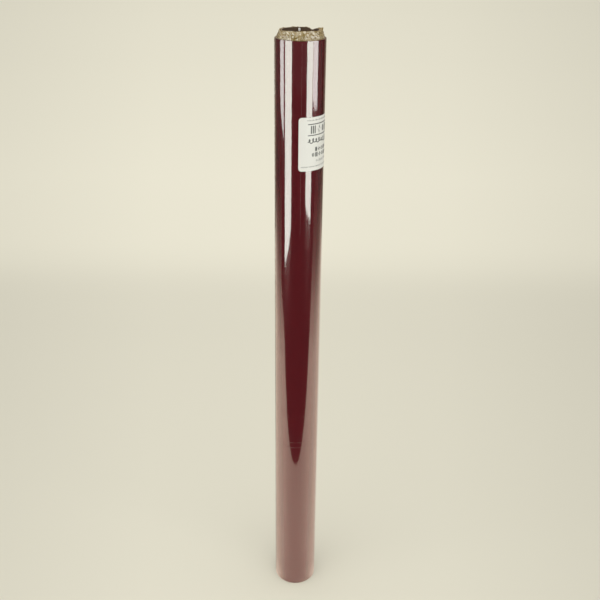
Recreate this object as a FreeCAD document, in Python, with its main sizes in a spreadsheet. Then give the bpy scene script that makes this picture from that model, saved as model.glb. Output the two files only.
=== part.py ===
import FreeCAD, Part
import math
import os

import Sketcher
from FreeCAD import Placement, Rotation, Vector

# A roll of sign vinyl, standing on end and shrink wrapped for the shelf.
#
# From the middle outwards: a paper core wound from four plies, a strip of double-sided tape that
# starts the web, the web itself (a face film on its release liner, wound together as one spiral,
# face out), three tabs of clear tape that hold the tail down, a clear shrink sleeve turned in over
# both ends, the welded ridge of the sleeve's side seal, and a paper label wrapped round the sleeve.
#
# Frame: Z is the roll's axis, Z = 0 the surface it stands on, -Y the side it is looked at from.
# Angles round the roll are in degrees from +X towards +Y. Everything is in millimetres.

SIZES = {
    # core: four concentric plies, flush with the web at the foot and proud of it at the head
    "bore_diameter": 31.75,
    "face_ply_thick": 0.4,
    "body_ply_thick": 0.5,
    "core_proud": 6.35,
    # web: the face film carries its adhesive; the gap is the air wound in between two wraps
    "web_width": 609.6,
    "face_film_thick": 0.09,
    "liner_thick": 0.14,
    "wound_gap": 0.01,
    "wrap_count": 18,
    "tail_angle": 135,
    # tapes
    "tape_thick": 0.05,
    "start_tape_width": 12,
    "tab_width": 19,
    "tab_length": 26,
    "tab_bridge": 1.5,
    "tab_inset": 60,
    # shrink sleeve: tube, flange under the foot, flange and collar at the head; its side seal
    "sleeve_thick": 0.15,
    "sleeve_gap": 0.025,
    "end_gap": 0.02,
    "foot_opening_margin": 0.6,
    "collar_root_margin": 2.6,
    "collar_bend_margin": 1.05,
    "collar_bend_rise": 1.6,
    "collar_lip_margin": 0.5,
    "collar_over_core": 1.0,
    "seal_width": 0.8,
    "seal_height": 0.25,
    # label
    "label_thick": 0.1,
    "label_gap": 0.02,
    "label_height": 48.5,
    "label_drop": 64.3,
    "label_start_angle": -92,
    "label_sweep_angle": 194,
    "label_corner_radius": 3,
}

# Sizes that follow from the ones above, so that each piece fits its neighbour whatever is changed.
FITS = {
    "bore_radius": "Sizes.bore_diameter / 2",
    "first_ply_radius": "Fits.bore_radius + Sizes.face_ply_thick",
    "second_ply_radius": "Fits.first_ply_radius + Sizes.body_ply_thick",
    "third_ply_radius": "Fits.second_ply_radius + Sizes.body_ply_thick",
    "core_radius": "Fits.third_ply_radius + Sizes.face_ply_thick",
    "web_thick": "Sizes.face_film_thick + Sizes.liner_thick",
    "wrap_pitch": "Fits.web_thick + Sizes.wound_gap",
    "start_radius": "Fits.core_radius + Sizes.tape_thick + Sizes.wound_gap",
    "tail_radius": "Fits.start_radius + Fits.wrap_pitch * Sizes.wrap_count",
    "web_radius": "Fits.tail_radius + Fits.web_thick",
    "sleeve_bore_radius": "Fits.web_radius + Sizes.tape_thick + Sizes.sleeve_gap",
    "sleeve_radius": "Fits.sleeve_bore_radius + Sizes.sleeve_thick",
    "foot_level": "Sizes.sleeve_thick + Sizes.end_gap",
    "web_top": "Fits.foot_level + Sizes.web_width",
    "core_length": "Sizes.web_width + Sizes.core_proud",
    "flange_underside": "Fits.web_top + Sizes.end_gap",
    "flange_top": "Fits.flange_underside + Sizes.sleeve_thick",
    "collar_top": "Fits.foot_level + Fits.core_length + Sizes.collar_over_core",
    "label_radius": "Fits.sleeve_radius + Sizes.label_gap",
    "label_foot": "Fits.web_top - Sizes.label_drop - Sizes.label_height",
}

ARCS_PER_WRAP = 24  # the spiral is drawn as short arcs, broken at the same angles in every wrap
START_TAPE_ARCS = 10
TAB_ARCS_EACH_SIDE = 3
FULL_TURN = 360
CUT_SPILL = 0.5  # how far a cutting tool runs past the edge it trims
UP = Vector(0, 0, 1)


def make_sheet(doc):
    """The spreadsheet of driving sizes, one alias a row."""
    sheet = doc.addObject("Spreadsheet::Sheet", "Sizes")
    for row, (name, value) in enumerate(SIZES.items(), start=1):
        sheet.set(f"A{row}", name)
        sheet.set(f"B{row}", str(value))
        sheet.setAlias(f"B{row}", name)
    doc.recompute()
    return sheet


def make_fits(doc):
    """The set of derived sizes, each bound to the sheet."""
    fits = doc.addObject("App::VarSet", "Fits")
    for name, expression in FITS.items():
        fits.addProperty("App::PropertyFloat", name, "Fits")
        fits.setExpression(name, expression)
    doc.recompute()
    return fits


def new_body(doc, label):
    """An empty body whose name and label are the sub-part's."""
    body = doc.addObject("PartDesign::Body", label)
    body.Label = label
    return body


def new_sketch(body, plane, name):
    """A sketch lying on one of the body's own origin planes."""
    sketch = body.newObject("Sketcher::SketchObject", name)
    support = next(f for f in body.Origin.OriginFeatures if f.Role == plane)
    sketch.AttachmentSupport = [(support, "")]
    sketch.MapMode = "FlatFace"
    return sketch


def constrain(sketch, expression, *constraint):
    """Add a dimension to a sketch and bind it to an expression."""
    index = sketch.addConstraint(Sketcher.Constraint(*constraint))
    sketch.setExpression(f"Constraints[{index}]", expression)


def add_profile(sketch, fits, points):
    """A closed outline through points given as pairs of expressions, each dimensioned from the
    sketch's own axes. A coordinate of "0" is held on the axis instead."""
    values = [[fits.evalExpression(text) for text in point] for point in points]
    corners = [Vector(float(across), float(up), 0) for across, up in values]
    count = len(corners)
    for index, corner in enumerate(corners):
        sketch.addGeometry(Part.LineSegment(corner, corners[(index + 1) % count]))
    for index in range(count):
        following = (index + 1) % count
        sketch.addConstraint(Sketcher.Constraint("Coincident", index, 2, following, 1))
    for index, (across, up) in enumerate(points):
        for kind, axis, text, value in (
            ("DistanceX", -2, across, corners[index].x),
            ("DistanceY", -1, up, corners[index].y),
        ):
            if text == "0":
                sketch.addConstraint(Sketcher.Constraint("PointOnObject", index, 1, axis))
            else:
                constrain(sketch, text, kind, -1, 1, index, 1, value)


def paper_ply(doc, fits, label, inner, outer):
    """One ply of the core: a plain tube between two of the fitted radii."""
    body = new_body(doc, label)
    sketch = new_sketch(body, "XY_Plane", f"{label}_section")
    for index, radius in enumerate((inner, outer)):
        sketch.addGeometry(Part.Circle(Vector(), UP, getattr(fits, radius)))
        sketch.addConstraint(Sketcher.Constraint("Coincident", index, 3, -1, 1))
        constrain(sketch, f"Fits.{radius}", "Radius", index, getattr(fits, radius))
    pad = body.newObject("PartDesign::Pad", f"{label}_length")
    pad.Profile = sketch
    pad.setExpression("Length", "Fits.core_length")
    body.setExpression("Placement.Base.z", "Fits.foot_level")
    return body


def shrink_sleeve(doc, fits):
    """The clear sleeve: turned in under the foot, turned in over the head and standing up round
    the end of the core as a collar."""
    body = new_body(doc, "shrink_sleeve")
    sketch = new_sketch(body, "XZ_Plane", "sleeve_section")
    opening = "Fits.bore_radius + Sizes.foot_opening_margin"
    root = "Fits.core_radius + Sizes.collar_root_margin"
    bend = "Fits.core_radius + Sizes.collar_bend_margin"
    lip = "Fits.core_radius + Sizes.collar_lip_margin"
    bend_level = "Fits.flange_top + Sizes.collar_bend_rise"
    film = "Sizes.sleeve_thick"
    add_profile(
        sketch,
        fits,
        [
            (opening, "0"),
            ("Fits.sleeve_radius", "0"),
            ("Fits.sleeve_radius", "Fits.flange_top"),
            (root, "Fits.flange_top"),
            (bend, bend_level),
            (lip, "Fits.collar_top"),
            (f"{lip} - {film}", "Fits.collar_top"),
            (f"{bend} - {film}", bend_level),
            (f"{root} - {film}", "Fits.flange_underside"),
            ("Fits.sleeve_bore_radius", "Fits.flange_underside"),
            ("Fits.sleeve_bore_radius", film),
            (opening, film),
        ],
    )
    turned = body.newObject("PartDesign::Revolution", "sleeve_turned")
    turned.Profile = sketch
    turned.ReferenceAxis = (sketch, ["V_Axis"])
    turned.Angle = FULL_TURN
    return body


def side_seal(doc, fits):
    """The welded ridge down one side of the sleeve, from foot to head."""
    body = new_body(doc, "side_seal")
    sketch = new_sketch(body, "XY_Plane", "side_seal_section")
    near = "-Fits.sleeve_radius"
    far = "-(Fits.sleeve_radius + Sizes.seal_height)"
    half = "Sizes.seal_width / 2"
    add_profile(
        sketch, fits, [(near, f"-{half}"), (near, half), (far, half), (far, f"-{half}")]
    )
    ridge = body.newObject("PartDesign::Pad", "side_seal_ridge")
    ridge.Profile = sketch
    ridge.setExpression("Length", "Fits.web_top")
    return body


def polar(radius, degrees, level):
    """A point given by its radius, its angle round the roll and its height."""
    turn = math.radians(degrees)
    return Vector(radius * math.cos(turn), radius * math.sin(turn), level)


def arcs_along(radius_at, first, last, count):
    """Arcs end to end from one angle to another, at the radius that a rule gives for each angle."""
    step = (last - first) / count
    edges = []
    for index in range(count):
        angles = [first + step * (index + share) for share in (0.0, 0.5, 1.0)]
        edges.append(Part.Arc(*[polar(radius_at(a), a, 0) for a in angles]).toShape())
    return edges


class Winding:
    """The line the web follows: out from the core by one pitch a wrap, ending at the tail."""

    def __init__(self, sheet, fits):
        self.pitch = fits.wrap_pitch
        self.start_radius = fits.start_radius
        self.tail_angle = sheet.tail_angle
        self.sweep = FULL_TURN * sheet.wrap_count
        self.start_angle = self.tail_angle - self.sweep
        self.level = fits.foot_level

    def radius(self, degrees):
        """The radius of the web's inner side at an angle counted along the whole winding."""
        return self.start_radius + self.pitch * (degrees - self.start_angle) / FULL_TURN

    def arcs(self, offset, first, last, count, back=0.0):
        """Arcs at an offset from the web's inner side; back lays them that many wraps lower."""
        lift = offset - self.pitch * back
        return arcs_along(lambda angle: self.radius(angle) + lift, first, last, count)


def closed_strip(inner, outer):
    """The flat face between two runs of edges that go the same way round."""
    start = Part.LineSegment(inner[0].Vertexes[0].Point, outer[0].Vertexes[0].Point)
    end = Part.LineSegment(inner[-1].Vertexes[-1].Point, outer[-1].Vertexes[-1].Point)
    edges = inner + [end.toShape()] + outer[::-1] + [start.toShape()]
    return Part.Face(Part.Wire(Part.__sortEdges__(edges)))


def new_feature(doc, label, shape, level, turn=0.0):
    """A sub-part with a shape of its own, stood at the given level and turned round the roll."""
    feature = doc.addObject("Part::Feature", label)
    feature.Label = label
    feature.Shape = shape
    feature.Placement = Placement(Vector(0, 0, level), Rotation(UP, turn))
    return feature


def wound_layer(doc, sheet, winding, label, inside, thickness):
    """One layer of the web over its whole length, from an offset inside the wrap outwards."""
    count = round(ARCS_PER_WRAP * winding.sweep / FULL_TURN)
    ends = (winding.start_angle, winding.tail_angle)
    inner = winding.arcs(inside, *ends, count)
    outer = winding.arcs(inside + thickness, *ends, count)
    solid = closed_strip(inner, outer).extrude(Vector(0, 0, sheet.web_width))
    return new_feature(doc, label, solid, winding.level)


def curved_sheet(radius, thickness, width, sweep):
    """Part of a thin tube: a sheet bent round the roll, from +X through the given angle."""
    outside = Part.makeCylinder(radius + thickness, width, Vector(), UP, sweep)
    return outside.cut(Part.makeCylinder(radius, width, Vector(), UP, sweep))


def start_tape(doc, sheet, fits, winding):
    """The strip of double-sided tape along the core, under the first of the web."""
    sweep = math.degrees(sheet.start_tape_width / fits.core_radius)
    inside, outside = (
        arcs_along(lambda angle: fits.core_radius + lift, 0.0, sweep, START_TAPE_ARCS)
        for lift in (0.0, sheet.tape_thick)
    )
    strip = closed_strip(inside, outside).extrude(Vector(0, 0, sheet.web_width))
    turn = winding.start_angle % FULL_TURN
    return new_feature(doc, "core_start_tape", strip, winding.level, turn)


def corner_waste(corner, along, up, out, radius):
    """What is cut away to round one corner of a sheet: along and up point into the sheet from
    its corner, and out points through it."""
    middle = radius * (1 - math.cos(math.pi / 4))

    def at(across, rise):
        return corner + along * across + up * rise - out * radius

    curve = Part.Arc(at(radius, 0), at(middle, middle), at(0, radius)).toShape()
    spill = -CUT_SPILL
    rim = [at(0, radius), at(spill, radius), at(spill, spill), at(radius, spill), at(radius, 0)]
    sides = [Part.LineSegment(*pair).toShape() for pair in zip(rim, rim[1:])]
    return Part.Face(Part.Wire([curve, *sides])).extrude(out * 2 * radius)


def product_label(doc, sheet, fits):
    """The paper label: a curved sheet lying on the sleeve, with rounded corners."""
    sweep = sheet.label_sweep_angle
    label = curved_sheet(fits.label_radius, sheet.label_thick, sheet.label_height, sweep)
    for angle, way in ((0.0, 1), (sweep, -1)):
        out = polar(1, angle, 0)
        along = UP.cross(out) * way
        for level, up in ((0.0, UP), (sheet.label_height, -UP)):
            corner = polar(fits.label_radius, angle, level)
            label = label.cut(
                corner_waste(corner, along, up, out, sheet.label_corner_radius)
            )
    return new_feature(
        doc, "product_label", label, fits.label_foot, sheet.label_start_angle
    )


def tail_tab(doc, sheet, fits, winding, label, middle):
    """A tab of clear tape over the web's tail: half on the last wrap, half on the one below it."""
    half = math.degrees(sheet.tab_length / 2 / fits.web_radius)
    tail = winding.tail_angle
    landing = tail + math.degrees(sheet.tab_bridge / fits.web_radius)

    def run(lift):
        """The tab's path at a lift above the web, as edges from one end to the other."""
        offset = fits.web_thick + lift
        upper = winding.arcs(offset, tail - half, tail, TAB_ARCS_EACH_SIDE)
        lower = winding.arcs(offset, landing, tail + half, TAB_ARCS_EACH_SIDE, back=1.0)
        bridge = Part.LineSegment(upper[-1].Vertexes[-1].Point, lower[0].Vertexes[0].Point)
        return upper + [bridge.toShape()] + lower

    section = closed_strip(run(0.0), run(sheet.tape_thick))
    solid = section.extrude(Vector(0, 0, sheet.tab_width))
    return new_feature(doc, label, solid, middle - sheet.tab_width / 2)


def check(doc, pieces):
    """Stop if any object failed to build or any sub-part is not one sound solid."""
    for item in doc.Objects:
        if {"Invalid", "Error"} & set(item.State):
            raise RuntimeError(f"{item.Label} did not build: {item.State}")
    for piece in pieces:
        shape = piece.Shape
        if shape.isNull() or not shape.isValid() or len(shape.Solids) != 1:
            raise RuntimeError(f"{piece.Label} is not one valid solid")


def main():
    """Build the document, check it and write each sub-part to its own file."""
    doc = FreeCAD.newDocument("roll_of_sign_vinyl")
    sheet = make_sheet(doc)
    fits = make_fits(doc)
    winding = Winding(sheet, fits)

    pieces = [
        paper_ply(doc, fits, "core_inner_ply", "bore_radius", "first_ply_radius"),
        paper_ply(doc, fits, "core_body_ply_inner", "first_ply_radius", "second_ply_radius"),
        paper_ply(doc, fits, "core_body_ply_outer", "second_ply_radius", "third_ply_radius"),
        paper_ply(doc, fits, "core_outer_ply", "third_ply_radius", "core_radius"),
        start_tape(doc, sheet, fits, winding),
        wound_layer(doc, sheet, winding, "release_liner", 0.0, sheet.liner_thick),
        wound_layer(
            doc, sheet, winding, "vinyl_film", sheet.liner_thick, sheet.face_film_thick
        ),
        shrink_sleeve(doc, fits),
        side_seal(doc, fits),
        product_label(doc, sheet, fits),
    ]
    tab_levels = {
        "tail_tab_lower": fits.foot_level + sheet.tab_inset,
        "tail_tab_middle": (fits.foot_level + fits.web_top) / 2,
        "tail_tab_upper": fits.web_top - sheet.tab_inset,
    }
    for label, middle in tab_levels.items():
        pieces.append(tail_tab(doc, sheet, fits, winding, label, middle))

    doc.recompute()
    check(doc, pieces)
    os.makedirs("parts", exist_ok=True)
    for piece in pieces:
        piece.Shape.exportStep(f"parts/{piece.Label}.step")
        print(f"{piece.Label}: {piece.Shape.Volume:.1f} mm3, {len(piece.Shape.Faces)} faces")


main()
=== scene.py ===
import logging
import math
from dataclasses import dataclass, field
from enum import Enum
from typing import Iterable, Sequence

import bmesh
import bpy
from mathutils import Matrix, Vector, noise


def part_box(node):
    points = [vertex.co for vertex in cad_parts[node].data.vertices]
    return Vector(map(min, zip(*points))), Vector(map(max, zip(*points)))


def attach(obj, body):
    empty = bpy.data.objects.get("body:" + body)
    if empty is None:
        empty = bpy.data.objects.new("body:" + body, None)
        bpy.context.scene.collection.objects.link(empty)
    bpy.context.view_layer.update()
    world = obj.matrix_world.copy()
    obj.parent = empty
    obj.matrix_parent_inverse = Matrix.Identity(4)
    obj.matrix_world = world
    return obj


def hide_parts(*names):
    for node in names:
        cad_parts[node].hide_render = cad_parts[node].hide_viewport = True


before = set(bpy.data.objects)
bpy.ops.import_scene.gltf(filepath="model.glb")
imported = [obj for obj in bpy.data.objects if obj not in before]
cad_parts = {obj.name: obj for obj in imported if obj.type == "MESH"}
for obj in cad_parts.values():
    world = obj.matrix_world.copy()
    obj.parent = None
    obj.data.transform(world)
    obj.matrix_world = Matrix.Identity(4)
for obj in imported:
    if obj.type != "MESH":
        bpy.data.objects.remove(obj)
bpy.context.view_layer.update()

# The visible roll of sign vinyl. The frame gives every place and size; the classes below give each
# piece its finer shape and its finish. Lengths are in metres, angles in radians unless a name
# says degrees. Z is the roll's axis, and an angle round it counts from +X towards +Y.

MM = 0.001
TURN = 2 * math.pi
BODY = "root"
CRISP_DEGREES = 35.0
BRIGHTEST_TONE = 1.3
LOG = logging.getLogger("roll")


# ---------------------------------------------------------------- nodes


class Socket:
    """The output of a node, usable in sums with other outputs and with numbers."""

    def __init__(self, graph: "Graph", output: bpy.types.NodeSocket) -> None:
        """Wrap an output.

        Args:
            graph: the graph that the node belongs to.
            output: the node's output socket.
        """
        self.graph = graph
        self.output = output

    def math(self, operation: str, *others: "Socket | float", clamp: bool = False) -> "Socket":
        """One Math node.

        Args:
            operation: the Math node's operation.
            others: its second and third values.
            clamp: whether the result is held between 0 and 1.

        Returns:
            The node's result.
        """
        settings = {"operation": operation, "use_clamp": clamp}
        return self.graph.node("ShaderNodeMath", settings, dict(enumerate((self, *others))))[0]

    def __add__(self, other: "Socket | float") -> "Socket":
        """Sum."""
        return self.math("ADD", other)

    def __radd__(self, other: float) -> "Socket":
        """Sum with a number in front."""
        return self.math("ADD", other)

    def __sub__(self, other: "Socket | float") -> "Socket":
        """Difference."""
        return self.math("SUBTRACT", other)

    def __rsub__(self, other: float) -> "Socket":
        """A number less this."""
        return (self * -1.0).math("ADD", other)

    def __mul__(self, other: "Socket | float") -> "Socket":
        """Product."""
        return self.math("MULTIPLY", other)

    def __rmul__(self, other: float) -> "Socket":
        """Product with a number in front."""
        return self.math("MULTIPLY", other)

    def __truediv__(self, other: "Socket | float") -> "Socket":
        """Quotient."""
        return self.math("DIVIDE", other)

    def __pow__(self, other: "Socket | float") -> "Socket":
        """Power."""
        return self.math("POWER", other)

    def sin(self) -> "Socket":
        """Sine."""
        return self.math("SINE")

    def cos(self) -> "Socket":
        """Cosine."""
        return self.math("COSINE")

    def above(self, edge: "Socket | float") -> "Socket":
        """1 where this is greater than the edge, else 0."""
        return self.math("GREATER_THAN", edge)

    def clamped(self) -> "Socket":
        """Held between 0 and 1."""
        return self.math("ADD", 0.0, clamp=True)


class Made:
    """A node that was made, whose outputs are read by name or number."""

    def __init__(self, graph: "Graph", node: bpy.types.Node) -> None:
        """Wrap a node."""
        self.graph = graph
        self.node = node

    def __getitem__(self, key: str | int) -> Socket:
        """The output of that name or number."""
        return Socket(self.graph, self.node.outputs[key])


class Graph:
    """A shader or geometry node tree that is built by calls."""

    def __init__(self, tree: bpy.types.NodeTree) -> None:
        """Wrap a tree."""
        self.tree = tree

    def node(
        self,
        kind: str,
        settings: dict[str, object] | None = None,
        inputs: dict[str | int, object] | None = None,
    ) -> Made:
        """Add any node.

        Args:
            kind: the node's type.
            settings: its own properties, set first; "stops" are a ramp's (place, colour) pairs.
            inputs: values, outputs or lists of outputs for its sockets, by name or number.

        Returns:
            The node.
        """
        made = self.tree.nodes.new(kind)
        for name, value in (settings or {}).items():
            if name == "stops":
                self._set_stops(made.color_ramp, value)
            else:
                setattr(made, name, value)
        for key, value in (inputs or {}).items():
            self.feed(made.inputs[key], value)
        return Made(self, made)

    @staticmethod
    def _set_stops(ramp: bpy.types.ColorRamp, stops: Sequence[tuple[float, tuple]]) -> None:
        """Give a ramp its stops.

        Args:
            ramp: the ramp.
            stops: pairs of a place and a colour, in order.
        """
        while len(ramp.elements) < len(stops):
            ramp.elements.new(1.0)
        for element, (place, colour) in zip(ramp.elements, stops):
            element.position = place
            element.color = (*colour[:3], 1.0)

    def feed(self, target: bpy.types.NodeSocket, value: object) -> None:
        """Link an output to an input, or set the input's value.

        Args:
            target: the input socket.
            value: an output, a list of outputs, a plain value, or None to leave it as it is.
        """
        if isinstance(value, Socket):
            self.tree.links.new(value.output, target)
        elif isinstance(value, list):
            for one in value:
                self.tree.links.new(one.output, target)
        elif value is not None:
            target.default_value = value

    def blend(
        self, mask: Socket | float, first: object, second: object, way: str = "MIX"
    ) -> Socket:
        """A colour between two others.

        Args:
            mask: 0 for the first colour, 1 for the second.
            first: a colour or an output.
            second: a colour or an output.
            way: the blend type.

        Returns:
            The mixed colour.
        """
        settings = {"data_type": "RGBA", "blend_type": way}
        return self.node("ShaderNodeMix", settings, {0: mask, 6: first, 7: second})[2]


class Recipe(Graph):
    """A Geometry Nodes tree with named inputs, applied once and turned into a plain mesh."""

    def __init__(self, name: str) -> None:
        """Start an empty tree with a geometry in and a geometry out.

        Args:
            name: the tree's name.
        """
        super().__init__(bpy.data.node_groups.new(name, "GeometryNodeTree"))
        self.identifiers: dict[str, str] = {}
        self._socket("Geometry", "NodeSocketGeometry", "INPUT")
        self._socket("Geometry", "NodeSocketGeometry", "OUTPUT")
        self.entry = self.tree.nodes.new("NodeGroupInput")
        self.exit = self.tree.nodes.new("NodeGroupOutput")

    def _socket(self, name: str, kind: str, way: str) -> bpy.types.NodeTreeInterfaceSocket:
        """Add one socket to the tree's own interface."""
        return self.tree.interface.new_socket(name=name, in_out=way, socket_type=kind)

    def size(self, name: str, whole: bool = False) -> Socket:
        """A named number that the modifier sets.

        Args:
            name: the input's name.
            whole: whether it is a whole number.

        Returns:
            The input as a socket.
        """
        kind = "NodeSocketInt" if whole else "NodeSocketFloat"
        self.identifiers[name] = self._socket(name, kind, "INPUT").identifier
        return Socket(self, self.entry.outputs[name])

    def geometry(self) -> Socket:
        """The mesh that the modifier sits on."""
        return Socket(self, self.entry.outputs["Geometry"])

    def bar(self, steps: Socket) -> tuple[Socket, Socket, Socket, Socket]:
        """A bar that can be wound into a strip.

        Args:
            steps: how many points it has along its length.

        Returns:
            The bar, and how far along, deep and across each of its points lies, from 0 to 1.
        """
        corners = {"Vertices X": steps, "Vertices Y": 2, "Vertices Z": 2}
        block = self.node("GeometryNodeMeshCube", {}, {"Size": (1.0, 1.0, 1.0), **corners})["Mesh"]
        along, deep, across = (part + 0.5 for part in self.position())
        return block, along, deep, across

    def position(self) -> tuple[Socket, Socket, Socket]:
        """Each point's own X, Y and Z."""
        here = self.node("GeometryNodeInputPosition")[0]
        parts = self.node("ShaderNodeSeparateXYZ", {}, {0: here})
        return parts[0], parts[1], parts[2]

    def wind(self, geometry: Socket, radius: Socket, angle: Socket, level: Socket) -> Socket:
        """Move every point of a geometry to its place round the roll.

        Args:
            geometry: what is wound.
            radius: each point's distance from the axis.
            angle: its angle round the axis.
            level: its height.

        Returns:
            The wound geometry.
        """
        where = self.node(
            "ShaderNodeCombineXYZ", {}, {0: radius * angle.cos(), 1: radius * angle.sin(), 2: level}
        )[0]
        return self.node(
            "GeometryNodeSetPosition", {}, {"Geometry": geometry, "Position": where}
        )[0]

    def finish(self, geometry: Socket, material: bpy.types.Material) -> None:
        """End the tree: instances made real, crisp edges, material.

        Args:
            geometry: what the tree has made.
            material: its finish.
        """
        real = self.node("GeometryNodeRealizeInstances", {}, {0: geometry})[0]
        smooth = self.node(
            "GeometryNodeSetShadeSmooth", {"domain": "FACE"}, {0: real, 2: True}
        )[0]
        turn = self.node("GeometryNodeInputMeshEdgeAngle")[0]
        sharp = self.node(
            "GeometryNodeSetShadeSmooth",
            {"domain": "EDGE"},
            {0: smooth, 1: turn.above(math.radians(CRISP_DEGREES)), 2: False},
        )[0]
        done = self.node("GeometryNodeSetMaterial", {}, {0: sharp, 2: material})[0]
        self.feed(self.exit.inputs[0], done)

    def apply(
        self, name: str, sizes: dict[str, float], base: bpy.types.Mesh | None = None
    ) -> bpy.types.Object:
        """Run the tree once.

        Args:
            name: the new piece's name.
            sizes: a value for each named input.
            base: the mesh it starts from, if the tree reads one.

        Returns:
            An object with a plain mesh and no modifier.
        """
        carrier = bpy.data.objects.new(name, base or bpy.data.meshes.new(name))
        bpy.context.scene.collection.objects.link(carrier)
        modifier = carrier.modifiers.new(name, "NODES")
        modifier.node_group = self.tree
        for key, value in sizes.items():
            modifier[self.identifiers[key]] = value
        graph = bpy.context.evaluated_depsgraph_get()
        graph.update()
        mesh = bpy.data.meshes.new_from_object(carrier.evaluated_get(graph), depsgraph=graph)
        carrier.modifiers.remove(modifier)
        carrier.data = mesh
        mesh.name = name
        return carrier


# ---------------------------------------------------------------- finishes


class Shader(Graph):
    """The node tree of one new material."""

    def __init__(self, name: str) -> None:
        """Start an empty material.

        Args:
            name: the material's name.
        """
        self.material = bpy.data.materials.new(name)
        self.material.use_nodes = True
        super().__init__(self.material.node_tree)
        self.tree.nodes.clear()
        self.place = self.node("ShaderNodeTexCoord")["Object"]

    def stretched(self, x: float, y: float, z: float) -> Socket:
        """Object coordinates scaled along each axis."""
        return self.node("ShaderNodeMapping", {}, {"Vector": self.place, "Scale": (x, y, z)})[0]

    def noise(self, scale: float, detail: float = 3.0, where: Socket | None = None) -> Socket:
        """Noise between 0 and 1, with its scale in features a metre."""
        inputs = {"Vector": where or self.place, "Scale": scale, "Detail": detail}
        return self.node("ShaderNodeTexNoise", {}, inputs)["Fac"]

    def bump(self, height: Socket, distance: float, strength: float = 1.0) -> Socket:
        """A normal from a height, whose full range is the distance."""
        inputs = {"Height": height, "Distance": distance, "Strength": strength}
        return self.node("ShaderNodeBump", {}, inputs)["Normal"]

    def end(self, surface: Socket) -> bpy.types.Material:
        """Set the surface and return the material."""
        self.node("ShaderNodeOutputMaterial", {}, {"Surface": surface})
        return self.material


@dataclass(frozen=True)
class VinylFinish:
    """Gloss face film: deep colour under a hard clear coat, with a faint orange peel."""

    colour: tuple[float, float, float] = (0.133, 0.0138, 0.0212)
    gloss_index: float = 1.52
    coat_index: float = 1.55
    peel_height: float = 0.0006 * MM

    def material(self) -> bpy.types.Material:
        """The material."""
        shader = Shader("vinyl_gloss")
        cloud = shader.noise(14.0, 2.0, shader.stretched(1.0, 1.0, 0.35))
        deep = tuple(part * 0.9 for part in self.colour)
        colour = shader.blend(cloud, (*deep, 1.0), (*self.colour, 1.0))
        peel = shader.noise(900.0, 2.0)
        rough = 0.16 + shader.noise(260.0) * 0.06
        surface = shader.node(
            "ShaderNodeBsdfPrincipled",
            {},
            {
                "Base Color": colour,
                "Roughness": rough,
                "IOR": self.gloss_index,
                "Coat Weight": 1.0,
                "Coat Roughness": 0.03,
                "Coat IOR": self.coat_index,
                "Normal": shader.bump(peel, self.peel_height),
            },
        )
        return shader.end(surface[0])


@dataclass(frozen=True)
class PaperFinish:
    """Paper or board: fibres that run one way, mottled colour, a matt surface."""

    name: str
    colour: tuple[float, float, float]
    dark: tuple[float, float, float]
    roughness: float = 0.8
    fibre_height: float = 0.02 * MM
    fibre_scale: float = 2200.0
    lay: tuple[float, float, float] = (1.0, 1.0, 0.18)

    def material(self) -> bpy.types.Material:
        """The material."""
        shader = Shader(self.name)
        fibres = shader.noise(self.fibre_scale, 4.0, shader.stretched(*self.lay))
        clouds = shader.noise(90.0, 3.0)
        mask = (fibres * 0.65 + clouds * 0.55 - 0.1).clamped()
        surface = shader.node(
            "ShaderNodeBsdfPrincipled",
            {},
            {
                "Base Color": shader.blend(mask, (*self.dark, 1.0), (*self.colour, 1.0)),
                "Roughness": (self.roughness - 0.1) + fibres * 0.2,
                "Normal": shader.bump(fibres, self.fibre_height),
            },
        )
        return shader.end(surface[0])


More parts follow.
